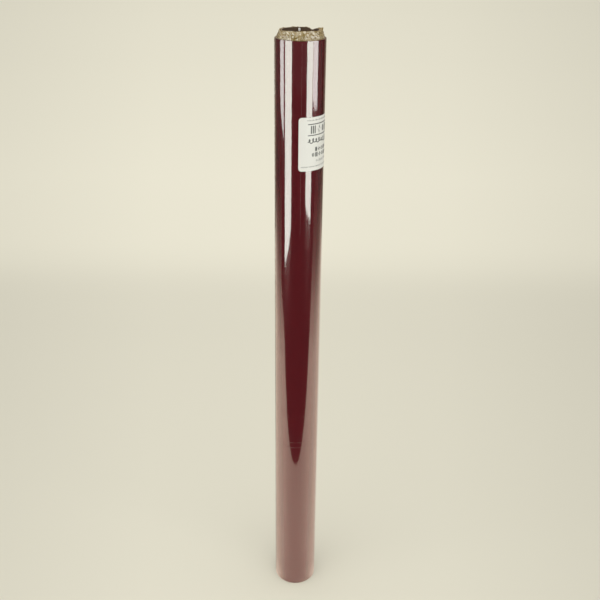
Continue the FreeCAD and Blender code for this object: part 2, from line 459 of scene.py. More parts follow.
@dataclass(frozen=True)
class FilmFinish:
    """Clear film: what is behind it shows, its surface mirrors, and where it is gathered it turns
    golden and hazy. One crossing of the film counts once, on the side that faces out of it."""

    name: str = "clear_film"
    tint: tuple[float, float, float] = (1.0, 0.99, 0.97)
    gathered_tint: tuple[float, float, float] = (0.84, 0.74, 0.50)
    haze_tint: tuple[float, float, float] = (0.72, 0.60, 0.37)
    haze_shade: tuple[float, float, float] = (0.42, 0.32, 0.13)
    index: float = 1.55
    roughness: float = 0.02
    ripple_height: float = 0.012 * MM
    ripple_scale: float = 420.0
    streak_height: float = 0.010 * MM
    streak_scale: float = 900.0
    crinkle_height: float = 0.7 * MM
    crinkle_scale: float = 330.0
    mottle_scale: float = 290.0
    speckle_scale: float = 520.0
    haze: float = 0.0
    gathered_haze: float = 0.75

    def material(self) -> bpy.types.Material:
        """The material."""
        shader = Shader(self.name)
        gather = shader.node(
            "ShaderNodeAttribute", {"attribute_type": "GEOMETRY", "attribute_name": "gather"}
        )["Fac"]
        back = shader.node("ShaderNodeNewGeometry")["Backfacing"]
        ripple = shader.noise(self.ripple_scale, 3.0) * self.ripple_height
        streak = shader.noise(self.streak_scale, 2.0, shader.stretched(0.35, 0.35, 1.0))
        ripple = ripple + streak * self.streak_height
        folds = shader.node(
            "ShaderNodeTexVoronoi",
            {"feature": "F1"},
            {"Vector": shader.place, "Scale": self.crinkle_scale, "Randomness": 1.0},
        )["Distance"]
        relief = ripple + folds * gather * self.crinkle_height
        normal = shader.bump(relief, 1.0)
        one = shader.node("ShaderNodeFresnel", {}, {"IOR": self.index, "Normal": normal})[0]
        both = 1.0 - (1.0 - one) * (1.0 - one)
        mirror = both * (1.0 - back)
        seen_through = shader.blend(gather, (*self.tint, 1.0), (*self.gathered_tint, 1.0))
        clear = shader.node("ShaderNodeBsdfTransparent", {}, {"Color": seen_through})
        # On the gathered collar the haze mottles between haze_shade and haze_tint: partly the
        # cloudiness of crumpled film, partly painted shade of its crinkles.
        mottle = ((shader.noise(self.mottle_scale, 4.0) - 0.36) * 3.2).clamped()
        cloud = shader.blend(mottle, (*self.haze_shade, 1.0), (*self.haze_tint, 1.0))
        milk = shader.node("ShaderNodeBsdfDiffuse", {}, {"Color": cloud, "Normal": normal})
        gloss = shader.node(
            "ShaderNodeBsdfAnisotropic",
            {},
            {
                "Color": (1.0, 1.0, 1.0, 1.0),
                "Roughness": self.roughness + gather * 0.1,
                "Normal": normal,
            },
        )
        speckle = ((shader.noise(self.speckle_scale, 3.0) - 0.3) * 2.0).clamped()
        amount = self.haze + gather * (0.45 + speckle * 0.55) * self.gathered_haze
        body = shader.node("ShaderNodeMixShader", {}, {0: amount, 1: clear[0], 2: milk[0]})
        return shader.end(
            shader.node("ShaderNodeMixShader", {}, {0: mirror, 1: body[0], 2: gloss[0]})[0]
        )


@dataclass(frozen=True)
class InkFinish:
    """Printing ink on the label: flat and a little uneven, as from a worn plate."""

    name: str = "label_ink"
    colour: tuple[float, float, float] = (0.03, 0.034, 0.03)
    thin: tuple[float, float, float] = (0.10, 0.11, 0.10)

    def material(self) -> bpy.types.Material:
        """The material."""
        shader = Shader(self.name)
        wear = shader.noise(2600.0, 3.0)
        surface = shader.node(
            "ShaderNodeBsdfPrincipled",
            {},
            {
                "Base Color": shader.blend(wear, (*self.colour, 1.0), (*self.thin, 1.0)),
                "Roughness": 0.45 + wear * 0.2,
            },
        )
        return shader.end(surface[0])


# ---------------------------------------------------------------- sizes


def ring(node: str) -> tuple[float, float]:
    """The least and the greatest distance of a CAD node's points from the roll's axis."""
    reach = [point.co.xy.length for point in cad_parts[node].data.vertices]
    return min(reach), max(reach)


def arc(node: str) -> tuple[float, float]:
    """Where a CAD node lies round the roll.

    Args:
        node: the node's name.

    Returns:
        The angle at which it starts, and the angle it sweeps.
    """
    angles = sorted(
        math.atan2(point.co.y, point.co.x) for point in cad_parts[node].data.vertices
    )
    angles.append(angles[0] + TURN)
    gap, start = max((after - angle, after) for angle, after in zip(angles, angles[1:]))
    return start, TURN - gap


def polar(radius: float, angle: float, level: float) -> Vector:
    """A point by its distance from the axis, its angle round it and its height."""
    return Vector((radius * math.cos(angle), radius * math.sin(angle), level))


def around(angle: float, rounds: float, level: float) -> Vector:
    """A place to read noise at, which comes back to itself after a turn.

    Args:
        angle: an angle round the roll.
        rounds: how fast the noise changes round the roll.
        level: the height at which it is read.

    Returns:
        The place.
    """
    return Vector((math.cos(angle) * rounds, math.sin(angle) * rounds, level))


def closeness(angle: float, degrees: float, width: float) -> float:
    """How close an angle round the roll is to one place on it.

    Args:
        angle: the angle.
        degrees: the place.
        width: how far round from it the effect has mostly died away, in degrees.

    Returns:
        1 at the place, falling evenly to 0 on both sides.
    """
    away = math.remainder(angle - math.radians(degrees), TURN)
    return math.exp(-((away / math.radians(width)) ** 2))


def new_piece(
    name: str,
    points: Iterable[Vector],
    faces: Iterable[Sequence[int]],
    material: bpy.types.Material,
    sharp_degrees: float = CRISP_DEGREES,
) -> bpy.types.Object:
    """A mesh object at the origin.

    Args:
        name: the piece's name.
        points: its points.
        faces: its faces, each a loop of point numbers seen from outside.
        material: its finish.
        sharp_degrees: edges that turn by more than this stay crisp.

    Returns:
        The object.
    """
    mesh = bpy.data.meshes.new(name)
    mesh.from_pydata([tuple(point) for point in points], [], [tuple(face) for face in faces])
    mesh.materials.append(material)
    mesh.shade_smooth()
    mesh.set_sharp_from_angle(angle=math.radians(sharp_degrees))
    piece = bpy.data.objects.new(name, mesh)
    bpy.context.scene.collection.objects.link(piece)
    return piece


def sheet_faces(rows: int, columns: int) -> list[tuple[int, ...]]:
    """The faces of a thin closed sheet. Its points are listed row by row, all of the near side
    first and then all of the far side.

    Args:
        rows: how many faces it has from its first row of points to its last.
        columns: how many faces it has along a row.

    Returns:
        Its faces, with its edges last.
    """
    wide = columns + 1
    count = wide * (rows + 1)
    faces = []
    for row in range(rows):
        for column in range(columns):
            a = row * wide + column
            b, c, d = a + 1, a + wide + 1, a + wide
            faces.append((a, b, c, d))
            faces.append((d + count, c + count, b + count, a + count))
    rim = list(range(wide))
    rim += [row * wide + columns for row in range(1, rows + 1)]
    rim += [rows * wide + column for column in range(columns - 1, -1, -1)]
    rim += [row * wide for row in range(rows - 1, 0, -1)]
    for a, b in zip(rim, rim[1:] + rim[:1]):
        faces.append((a, a + count, b + count, b))
    return faces


def settle(piece: bpy.types.Object, slot: str, *nodes: str) -> None:
    """Ride a piece on the roll.

    Args:
        piece: the piece.
        slot: not used.
        nodes: the CAD nodes that it stands for, if any.
    """
    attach(piece, BODY)
    if nodes:
        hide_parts(*nodes)
    LOG.info("%s: %d faces", piece.name, len(piece.data.polygons))


# ---------------------------------------------------------------- core


@dataclass
class PaperCore:
    """The core: plies of paper strip wound as helices, each with its butt seam left a hair open,
    cut square at both ends."""

    strip_advance: float = 111 * MM
    seam_gap: float = 0.35 * MM
    steps_per_turn: int = 96
    spare_turns: float = 0.1
    slab_side: float = 0.2
    dent_place: float = 52.0
    dent_width: float = 10.0
    dent_depth: float = 2.0 * MM
    dent_reach: float = 6.0 * MM
    phases: dict[str, float] = field(
        default_factory=lambda: {
            "core_inner_ply": 0.35,
            "core_body_ply_inner": 0.62,
            "core_body_ply_outer": 0.11,
            "core_outer_ply": 0.84,
        }
    )

    def recipe(self, material: bpy.types.Material) -> Recipe:
        """The tree that winds one strip and cuts it to length.

        Args:
            material: the strip's finish.

        Returns:
            The tree.
        """
        tree = Recipe(f"wind_{material.name}")
        steps = tree.size("Steps", whole=True)
        inner = tree.size("Inner Radius")
        outer = tree.size("Outer Radius")
        turns = tree.size("Turns")
        advance = tree.size("Advance")
        width = tree.size("Strip Width")
        start = tree.size("Start Height")
        foot = tree.size("Foot")
        head = tree.size("Head")
        block, share, deep, across = tree.bar(steps)
        along = share * turns
        radius = outer - deep * (outer - inner)
        level = start + along * advance + across * width
        strip = tree.wind(block, radius, along * TURN, level)
        span = head - foot
        side = self.slab_side
        slab_size = tree.node("ShaderNodeCombineXYZ", {}, {0: side, 1: side, 2: span})[0]
        slab = tree.node("GeometryNodeMeshCube", {}, {"Size": slab_size})["Mesh"]
        middle = tree.node("ShaderNodeCombineXYZ", {}, {2: foot + span * 0.5})[0]
        raised = tree.node(
            "GeometryNodeTransform", {}, {"Geometry": slab, "Translation": middle}
        )[0]
        cut = tree.node(
            "GeometryNodeMeshBoolean",
            {"operation": "INTERSECT", "solver": "EXACT"},
            {1: [strip, raised]},
        )["Mesh"]
        tree.finish(cut, material)
        return tree

    def dent(self, ply: bpy.types.Object, head: float) -> None:
        """Press the head of a ply down a little where the core has been knocked.

        Args:
            ply: the ply.
            head: the height of its head.
        """
        for point in ply.data.vertices:
            share = min(max(1.0 - (head - point.co.z) / self.dent_reach, 0.0), 1.0)
            angle = math.atan2(point.co.y, point.co.x)
            press = closeness(angle, self.dent_place, self.dent_width) * self.dent_depth
            point.co.z -= press * share**1.5

    def build(self) -> None:
        """Wind and place the four plies."""
        kraft = PaperFinish("core_face_kraft", (0.50, 0.34, 0.16), (0.34, 0.21, 0.09))
        # The bore's liner is very dark: partly its brown kraft, partly painted shade inside the
        # bore.
        liner = PaperFinish("core_liner_kraft_with_painted_shade", (0.125, 0.066, 0.024), (0.07, 0.032, 0.011))
        board = PaperFinish("core_board", (0.36, 0.26, 0.17), (0.24, 0.17, 0.11))
        finishes = {
            "core_inner_ply": (liner.material(), "core_liner_paper"),
            "core_body_ply_inner": (board.material(), "core_board"),
            "core_body_ply_outer": (board.material(), "core_board"),
            "core_outer_ply": (kraft.material(), "core_face_paper"),
        }
        for node, (material, slot) in finishes.items():
            inner, outer = ring(node)
            low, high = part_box(node)
            lead = (1.0 + self.phases[node]) * self.strip_advance
            turns = (high.z - low.z + lead) / self.strip_advance + self.spare_turns
            piece = self.recipe(material).apply(
                f"wound_{node}",
                {
                    "Steps": round(turns * self.steps_per_turn),
                    "Inner Radius": inner,
                    "Outer Radius": outer,
                    "Turns": turns,
                    "Advance": self.strip_advance,
                    "Strip Width": self.strip_advance - self.seam_gap,
                    "Start Height": low.z - lead,
                    "Foot": low.z,
                    "Head": high.z,
                },
            )
            self.dent(piece, high.z)
            settle(piece, slot, node)


# ---------------------------------------------------------------- web


@dataclass
class WoundWeb:
    """The web: face film and release liner, each one long strip wound as the same spiral."""

    liner_thick: float = 0.14 * MM
    film_thick: float = 0.09 * MM
    wound_gap: float = 0.01 * MM
    steps_per_turn: int = 144

    def __post_init__(self) -> None:
        """Read the winding from the frame."""
        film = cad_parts["vinyl_film"].data.vertices
        tail = max(film, key=lambda point: point.co.xy.length).co
        self.start_radius = ring("release_liner")[0]
        self.end_radius = ring("vinyl_film")[1]
        self.tail_angle = math.atan2(tail.y, tail.x)
        self.pitch = self.liner_thick + self.film_thick + self.wound_gap
        stack = self.liner_thick + self.film_thick
        self.turns = (self.end_radius - stack - self.start_radius) / self.pitch
        low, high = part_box("vinyl_film")
        self.foot, self.head = low.z, high.z

    def recipe(self, material: bpy.types.Material) -> Recipe:
        """The tree that winds one layer of the web.

        Args:
            material: the layer's finish.

        Returns:
            The tree.
        """
        tree = Recipe(f"wind_{material.name}")
        steps = tree.size("Steps", whole=True)
        inside = tree.size("Start Radius")
        thick = tree.size("Thickness")
        pitch = tree.size("Pitch")
        turns = tree.size("Turns")
        start = tree.size("Start Angle")
        foot = tree.size("Foot")
        head = tree.size("Head")
        block, share, deep, across = tree.bar(steps)
        along = share * turns
        radius = inside + along * pitch + (1.0 - deep) * thick
        level = foot + across * (head - foot)
        tree.finish(tree.wind(block, radius, start + along * TURN, level), material)
        return tree

    def layer(
        self, name: str, lift: float, thick: float, material: bpy.types.Material
    ) -> bpy.types.Object:
        """Wind one layer.

        Args:
            name: the piece's name.
            lift: how far its inner side stands off the web's inner side.
            thick: its thickness.
            material: its finish.

        Returns:
            The piece.
        """
        sizes = {
            "Steps": round(self.turns * self.steps_per_turn) + 1,
            "Start Radius": self.start_radius + lift,
            "Thickness": thick,
            "Pitch": self.pitch,
            "Turns": self.turns,
            "Start Angle": self.tail_angle - self.turns * TURN,
            "Foot": self.foot,
            "Head": self.head,
        }
        return self.recipe(material).apply(name, sizes)

    def build(self) -> None:
        """Wind the liner and the face film."""
        paper = PaperFinish(
            "release_liner_paper",
            (0.24, 0.15, 0.085),
            (0.15, 0.09, 0.05),
            roughness=0.5,
            fibre_height=0.004 * MM,
        )
        liner = self.layer("wound_release_liner", 0.0, self.liner_thick, paper.material())
        settle(liner, "release_liner", "release_liner")
        vinyl = VinylFinish().material()
        film = self.layer("wound_vinyl_film", self.liner_thick, self.film_thick, vinyl)
        settle(film, "vinyl", "vinyl_film")


# ---------------------------------------------------------------- tapes


@dataclass
class Tapes:
    """The clear tabs that hold the tail, torn off with a toothed edge, and the strip under the
    start of the web, which keeps its CAD shape."""

    web: WoundWeb
    tooth_depth: float = 0.7 * MM
    tooth_pitch: float = 1.2 * MM
    tape_thick: float = 0.05 * MM
    bridge: float = 1.5 * MM
    columns: int = 22

    def tab(self, node: str, material: bpy.types.Material) -> bpy.types.Object:
        """One tab, over the step from the last wrap down to the one below it.

        Args:
            node: the CAD tab that gives its place.
            material: its finish.

        Returns:
            The piece.
        """
        web = self.web
        start, sweep = arc(node)
        middle = web.tail_angle
        half = sweep / 2
        low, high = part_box(node)
        rows = round((high.z - low.z) / (self.tooth_pitch / 2)) // 2 * 2
        landing = self.bridge / web.end_radius
        points = []
        for row in range(rows + 1):
            level = low.z + (high.z - low.z) * row / rows
            bite = (self.tooth_depth if row % 2 else 0.0) / web.end_radius
            reach = half - bite
            for column in range(self.columns + 1):
                turn = -reach + 2 * reach * column / self.columns
                step = min(max(turn / landing, 0.0), 1.0)
                radius = web.end_radius + web.pitch * (turn / TURN - step)
                points.append((radius, middle + turn, level))
        skin = [polar(r + self.tape_thick, a, z) for r, a, z in points]
        skin += [polar(r, a, z) for r, a, z in points]
        return new_piece(f"clear_{node}", skin, sheet_faces(rows, self.columns), material)

    def build(self) -> None:
        """Lay the tabs and dress the start strip."""
        tape = FilmFinish(
            name="clear_tape", tint=(0.97, 0.95, 0.88), haze=0.05, ripple_height=0.004 * MM
        ).material()
        for node in ("tail_tab_lower", "tail_tab_middle", "tail_tab_upper"):
            settle(self.tab(node, tape), "tape", node)
        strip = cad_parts["core_start_tape"]
        strip.data.materials.clear()
        strip.data.materials.append(tape)


# ---------------------------------------------------------------- sleeve


class Zone(Enum):
    """Where a row of the sleeve lies."""

    FOOT = "foot"
    SIDE = "side"
    HEAD = "head"
    COLLAR = "collar"


@dataclass(frozen=True)
class Row:
    """One row of points round the sleeve."""

    radius: float
    level: float
    zone: Zone
    gather: float = 0.0
    crease: float = 0.0


@dataclass(frozen=True)
class Gather:
    """One size of fold in the collar: how many run round it, how fast they change with height,
    where their noise is read, and how far they push the film out and up, in millimetres."""

    rounds: float
    climb: float
    seed: float
    out: float
    up: float
    ridged: bool = True


@dataclass(frozen=True)
class Bend:
    """A bend in the collar's lip: its place and its width round the roll, in degrees, and how far
    it moves the lip out and up, in millimetres."""

    place: float
    width: float
    out: float
    up: float


@dataclass
class ShrinkSleeve:
    """The clear sleeve: tight on the web, turned in at the foot, and drawn in over the head into a
    crumpled collar round the end of the core."""

    columns: int = 384
    collar_steps: int = 2
    film_thick: float = 0.05 * MM
    corner: float = 0.35 * MM
    side_spans: int = 25
    cling: float = 0.008 * MM
    crease_levels: tuple[float, ...] = (0.2325, 0.2, 0.1935)
    crease_height: float = 0.06 * MM
    crease_width: float = 0.45 * MM
    seal_width: float = 0.9 * MM
    seal_foot: float = 0.4 * MM
    seal_bite: float = 0.02 * MM
    seal_steps: int = 700
    shred_place: float = 94.0
    shred_width: float = 2.1 * MM
    shred_columns: int = 8
    crisp_degrees: float = 60.0
    collar_height: float = 7 * MM
    least_stand: float = 0.12 * MM
    gathers: tuple[Gather, ...] = (
        Gather(rounds=3.4, climb=0.12, seed=5, out=0.38, up=0.35),
        Gather(rounds=7.5, climb=0.4, seed=11, out=0.42, up=0.0),
        Gather(rounds=16, climb=0.9, seed=23, out=0.3, up=0.5, ridged=False),
    )
    lip_bends: tuple[Bend, ...] = (
        Bend(place=52, width=10, out=-0.25, up=-2.9),
        Bend(place=-150, width=14, out=0.0, up=-0.5),
        Bend(place=-62, width=16, out=0.0, up=0.35),
        Bend(place=16, width=12, out=0.0, up=0.9),
        Bend(place=15, width=17, out=1.7, up=0.0),
    )
    drop_behind: float = 0.9
    flap_place: float = 16.0
    flap_width: float = 14.0
    flap_clearing: float = 0.75

    def __post_init__(self) -> None:
        """Read the sleeve's places from the frame."""
        self.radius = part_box("shrink_sleeve")[1].y
        self.opening = ring("shrink_sleeve")[0]
        self.web_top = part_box("vinyl_film")[1].z
        self.core_radius = ring("core_outer_ply")[1]
        self.core_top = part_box("core_outer_ply")[1].z
        self.flange_level = self.web_top + (self.radius - ring("vinyl_film")[1]) * 0.8

    def rows(self) -> list[Row]:
        """Lay out the film from the edge of the foot's opening up to the lip of the collar.

        Returns:
            Every row of points, in order. The collar's own rows say how far they stand off the
            core, how far they rise over the head, both in millimetres, and how gathered they are.
        """
        rows = [
            Row(self.opening, 0.05 * MM, Zone.FOOT, 0.8),
            Row(self.opening + 0.4 * (self.radius - self.opening), 0.0, Zone.FOOT, 0.5),
            Row(self.opening + 0.75 * (self.radius - self.opening), 0.0, Zone.FOOT, 0.2),
        ]
        rows += self._round(self.radius, 0.0, 1)
        first, last = self.corner, self.flange_level - self.corner
        spans = self.side_spans
        levels = {first + (last - first) * n / spans for n in range(spans + 1)}
        for level in self.crease_levels:
            levels |= {level + step * self.crease_width for step in (-2, -1, 0, 1, 2)}
        for level in sorted(levels)[1:-1]:
            crease = 1.0 if level in self.crease_levels else 0.0
            rows.append(Row(self.radius, level, Zone.SIDE, 0.0, crease))
        rows += self._round(self.radius, self.flange_level, -1)
        top = self.flange_level
        collar = (
            (4.30, 0.00, 0.05),
            (3.75, 0.02, 0.25),
            (3.30, 0.10, 0.6),
            (3.02, 0.40, 1.0),
            (2.88, 0.90, 1.0),
            (2.74, 1.45, 1.0),
            (2.52, 2.05, 1.0),
            (2.24, 2.70, 1.0),
            (1.94, 3.35, 1.0),
            (1.64, 4.00, 1.0),
            (1.36, 4.65, 1.0),
            (1.12, 5.30, 1.0),
            (0.92, 5.90, 1.0),
            (0.74, 6.45, 1.0),
            (0.52, 6.88, 1.0),
            (0.24, 7.10, 1.0),
            (-0.08, 7.08, 1.0),
            (-0.42, 6.92, 1.0),
            (-0.75, 6.70, 1.0),
        )
        for start, end in zip(collar, collar[1:] + collar[-1:]):
            steps = self.collar_steps if end != start else 1
            for step in range(steps):
                stand, rise, gather = (a + (b - a) * step / steps for a, b in zip(start, end))
                zone = Zone.COLLAR if rise > 0.2 else Zone.HEAD
                rows.append(Row(self.core_radius + stand * MM, top + rise * MM, zone, gather))
        return rows

    def _round(self, radius: float, level: float, way: int) -> list[Row]:
        """Three rows round an outer corner.

        Args:
            radius: the side's radius.
            level: the height of the flat end.
            way: 1 from the foot up to the side, -1 from the side in to the head.

        Returns:
            The rows, from the lowest up.
        """
        bend = self.corner * (1 - math.sqrt(0.5))
        rows = [
            Row(radius - self.corner, level, Zone.FOOT, 0.1),
            Row(radius - bend, level + way * bend, Zone.SIDE),
            Row(radius, level + way * self.corner, Zone.SIDE),
        ]
        return rows if way > 0 else rows[::-1]

    def crumple(self, angle: float, row: Row) -> tuple[float, float]:
        """How far the gathers push a point out and up.

        Args:
            angle: the point's angle round the roll.
            row: the row it lies on.

        Returns:
            The push outwards and upwards, in metres.
        """
        if row.zone is Zone.SIDE:
            wander = noise.noise(around(angle, 3, row.level * 9))
            front = max(math.cos(angle + math.pi / 2), 0.0)
            ridge = row.crease * self.crease_height * front
            return self.cling * wander + ridge, 0.0
        if row.zone is Zone.FOOT:
            return 0.0, row.gather * 0.08 * MM * abs(noise.noise(around(angle, 9, 3.0)))
        height = (row.level - self.flange_level) / MM
        swing = angle + noise.noise(around(angle, 1, height * 0.25)) * 0.15 + height * 0.015
        push = rise = 0.0
        for gather in self.gathers:
            fold = noise.noise(around(swing, gather.rounds, height * gather.climb + gather.seed))
            if gather.ridged:
                fold = 0.5 - 2 * abs(fold)
            push += gather.out * fold
            rise += gather.up * fold
        return row.gather * push * MM, row.gather * rise * MM * min(height / 6, 1.0)

    def climbed(self, row: Row) -> float:
        """How far up the collar a row lies: 0 at the head's edge, 1 at the lip."""
        return min(max((row.level - self.flange_level) / self.collar_height, 0.0), 1.0)

    def lip(self, angle: float, row: Row) -> tuple[float, float]:
        """How the collar's lip departs from even: lower behind, a notch behind on the right, and a
        flap that stands off the core on the right.

        Args:
            angle: the point's angle round the roll.
            row: the row it lies on.

        Returns:
            The change in radius and in height, in metres.
        """
        if row.zone is not Zone.COLLAR:
            return 0.0, 0.0
        share = self.climbed(row)
        flare, rise = 0.0, -self.drop_behind * (0.5 + 0.5 * math.sin(angle))
        for bend in self.lip_bends:
            close = closeness(angle, bend.place, bend.width)
            flare += bend.out * close
            rise += bend.up * close
        return share**2 * flare * MM, share**3 * rise * MM

    def skin(self) -> tuple[list[Vector], list[float]]:
        """Work out the outer face of the film.

        Returns:
            Its points, row by row, and how gathered each of them is.
        """
        points, gathers = [], []
        for row in self.rows():
            for column in range(self.columns):
                angle = TURN * column / self.columns
                out, up = self.crumple(angle, row)
                lip_out, lip_up = self.lip(angle, row)
                radius = row.radius + out + lip_out
                if row.zone is Zone.COLLAR and row.radius > self.core_radius + 0.2 * MM:
                    radius = max(radius, self.core_radius + self.least_stand)
                level = max(row.level + up + lip_up, 0.0)
                points.append(polar(radius, angle, level))
                loose = 0.0
                if row.zone is Zone.COLLAR:
                    loose = closeness(angle, self.flap_place, self.flap_width)
                thinned = self.flap_clearing * loose * self.climbed(row) ** 2
                gathers.append(row.gather * (1.0 - thinned))
        return points, gathers

    def build(self) -> None:
        """Make the film and the ridge of its side seal."""
        material = FilmFinish().material()
        outer, gathers = self.skin()
        count = len(outer)
        rows = count // self.columns
        quads = []
        for row in range(rows - 1):
            for column in range(self.columns):
                after = (column + 1) % self.columns
                a, b = row * self.columns + column, row * self.columns + after
                quads.append((a, b, b + self.columns, a + self.columns))
        shell = bmesh.new()
        for point in outer:
            shell.verts.new(point)
        shell.verts.ensure_lookup_table()
        for quad in quads:
            shell.faces.new([shell.verts[n] for n in quad])
        shell.normal_update()
        normals = [vertex.normal.copy() for vertex in shell.verts]
        shell.free()
        inner = [point - normal * self.film_thick for point, normal in zip(outer, normals)]
        faces = list(quads)
        faces += [tuple(n + count for n in quad[::-1]) for quad in quads]
        last = (rows - 1) * self.columns
        for column in range(self.columns):
            after = (column + 1) % self.columns
            faces.append((after, column, column + count, after + count))
            faces.append(
                (last + column, last + after, last + after + count, last + column + count)
            )
        sleeve = new_piece(
            "clear_shrink_sleeve", outer + inner, faces, material, self.crisp_degrees
        )
        attribute = sleeve.data.attributes.new("gather", "FLOAT", "POINT")
        attribute.data.foreach_set("value", gathers + gathers)
        settle(sleeve, "shrink_film", "shrink_sleeve")
        self.shred()
        self.seal()

    def shred(self) -> None:
        """A shred of film that clings to the bore just under the core's end, behind. Its near-white
        haze is partly the whiteness of creased film and partly a painted glint.
        """
        bore = ring("core_inner_ply")[0]
        # Near-white haze: partly the whiteness of creased film, partly a painted glint.
        finish = FilmFinish(
            name="creased_film_with_painted_glint",
            haze_tint=(0.97, 0.95, 0.9),
            haze_shade=(0.9, 0.87, 0.8),
            haze=0.97,
            ripple_height=0.03 * MM,
        )
        path = (
            (bore - 0.10 * MM, self.core_top - 0.6 * MM, 0.35),
            (bore - 0.22 * MM, self.core_top - 0.95 * MM, 0.75),
            (bore - 0.28 * MM, self.core_top - 1.6 * MM, 1.0),
            (bore - 0.24 * MM, self.core_top - 2.4 * MM, 0.95),
            (bore - 0.16 * MM, self.core_top - 3.1 * MM, 0.7),
            (bore - 0.08 * MM, self.core_top - 3.7 * MM, 0.25),
        )
        points = []
        for side in (0.0, self.film_thick):
            for radius, level, share in path:
                for column in range(self.shred_columns + 1):
                    spread = (column / self.shred_columns - 0.5) * share * self.shred_width / bore
                    angle = math.radians(self.shred_place) + spread
                    points.append(polar(radius + side, angle, level + side))
        faces = sheet_faces(len(path) - 1, self.shred_columns)
        piece = new_piece("film_shred", points, faces, finish.material(), self.crisp_degrees)
        settle(piece, "shrink_film")

    def seal_recipe(self, material: bpy.types.Material) -> Recipe:
        """The tree of the side seal: a bead that wanders and swells along the sleeve.

        Args:
            material: the bead's finish.

        Returns:
            The tree.
        """
        tree = Recipe("run_side_seal")
        foot = tree.size("Foot")
        head = tree.size("Head")
        radius = tree.size("Radius")
        width = tree.size("Width")
        steps = tree.size("Steps", whole=True)
        line = tree.node(
            "GeometryNodeCurvePrimitiveLine",
            {},
            {
                "Start": tree.node("ShaderNodeCombineXYZ", {}, {0: radius * -1.0, 2: foot})[0],
                "End": tree.node("ShaderNodeCombineXYZ", {}, {0: radius * -1.0, 2: head})[0],
            },
        )[0]
        fine = tree.node(
            "GeometryNodeResampleCurve", {"mode": "COUNT"}, {"Curve": line, "Count": steps}
        )[0]
        where = tree.node("GeometryNodeInputPosition")[0]
        wobble = tree.node(
            "ShaderNodeTexNoise", {}, {"Vector": where, "Scale": 90.0, "Detail": 2.0}
        )["Fac"]
        side = (wobble - 0.5) * width * 1.2
        offset = tree.node("ShaderNodeCombineXYZ", {}, {1: side})[0]
        bent = tree.node("GeometryNodeSetPosition", {}, {"Geometry": fine, "Offset": offset})[0]
        swell = tree.node(
            "ShaderNodeTexNoise", {}, {"Vector": where, "Scale": 420.0, "Detail": 2.0}
        )["Fac"]
        thick = 0.3 + swell * 1.8
        sized = tree.node(
            "GeometryNodeSetCurveRadius", {}, {"Curve": bent, "Radius": thick}
        )[0]
        outline = tree.node(
            "GeometryNodeCurvePrimitiveCircle",
            {"mode": "RADIUS"},
            {"Resolution": 8, "Radius": width * 0.28},
        )["Curve"]
        bead = tree.node(
            "GeometryNodeCurveToMesh",
            {},
            {"Curve": sized, "Profile Curve": outline, "Scale": thick, "Fill Caps": True},
        )[0]
        tree.finish(bead, material)
        return tree

    def seal(self) -> None:
        """Run the side seal's ridge up the sleeve."""
        finish = FilmFinish(
            name="sealed_film",
            tint=(0.72, 0.66, 0.56),
            haze_tint=(0.34, 0.29, 0.21),
            haze_shade=(0.06, 0.05, 0.03),
            haze=0.5,
            ripple_height=0.02 * MM,
        )
        ridge = self.seal_recipe(finish.material()).apply(
            "sleeve_side_seal",
            {
                "Foot": self.seal_foot,
                "Head": self.web_top,
                "Radius": self.radius - self.seal_bite,
                "Width": self.seal_width,
                "Steps": self.seal_steps,
            },
        )
        settle(ridge, "shrink_film", "side_seal")


# ---------------------------------------------------------------- label


class Mark(Enum):
    """A kind of printed row."""

    RULE = "rule"
    BLOCKS = "blocks"
    SCRIPT = "script"
    SMALL = "small"


@dataclass(frozen=True)
class PrintedRow:
    """One printed row of the label: its kind, how far its middle lies below the label's top edge,
    how far it is inset from the label's ends, its height and the weight of its strokes."""

    kind: Mark
    depth: float
    inset: float
    height: float
    stroke: float


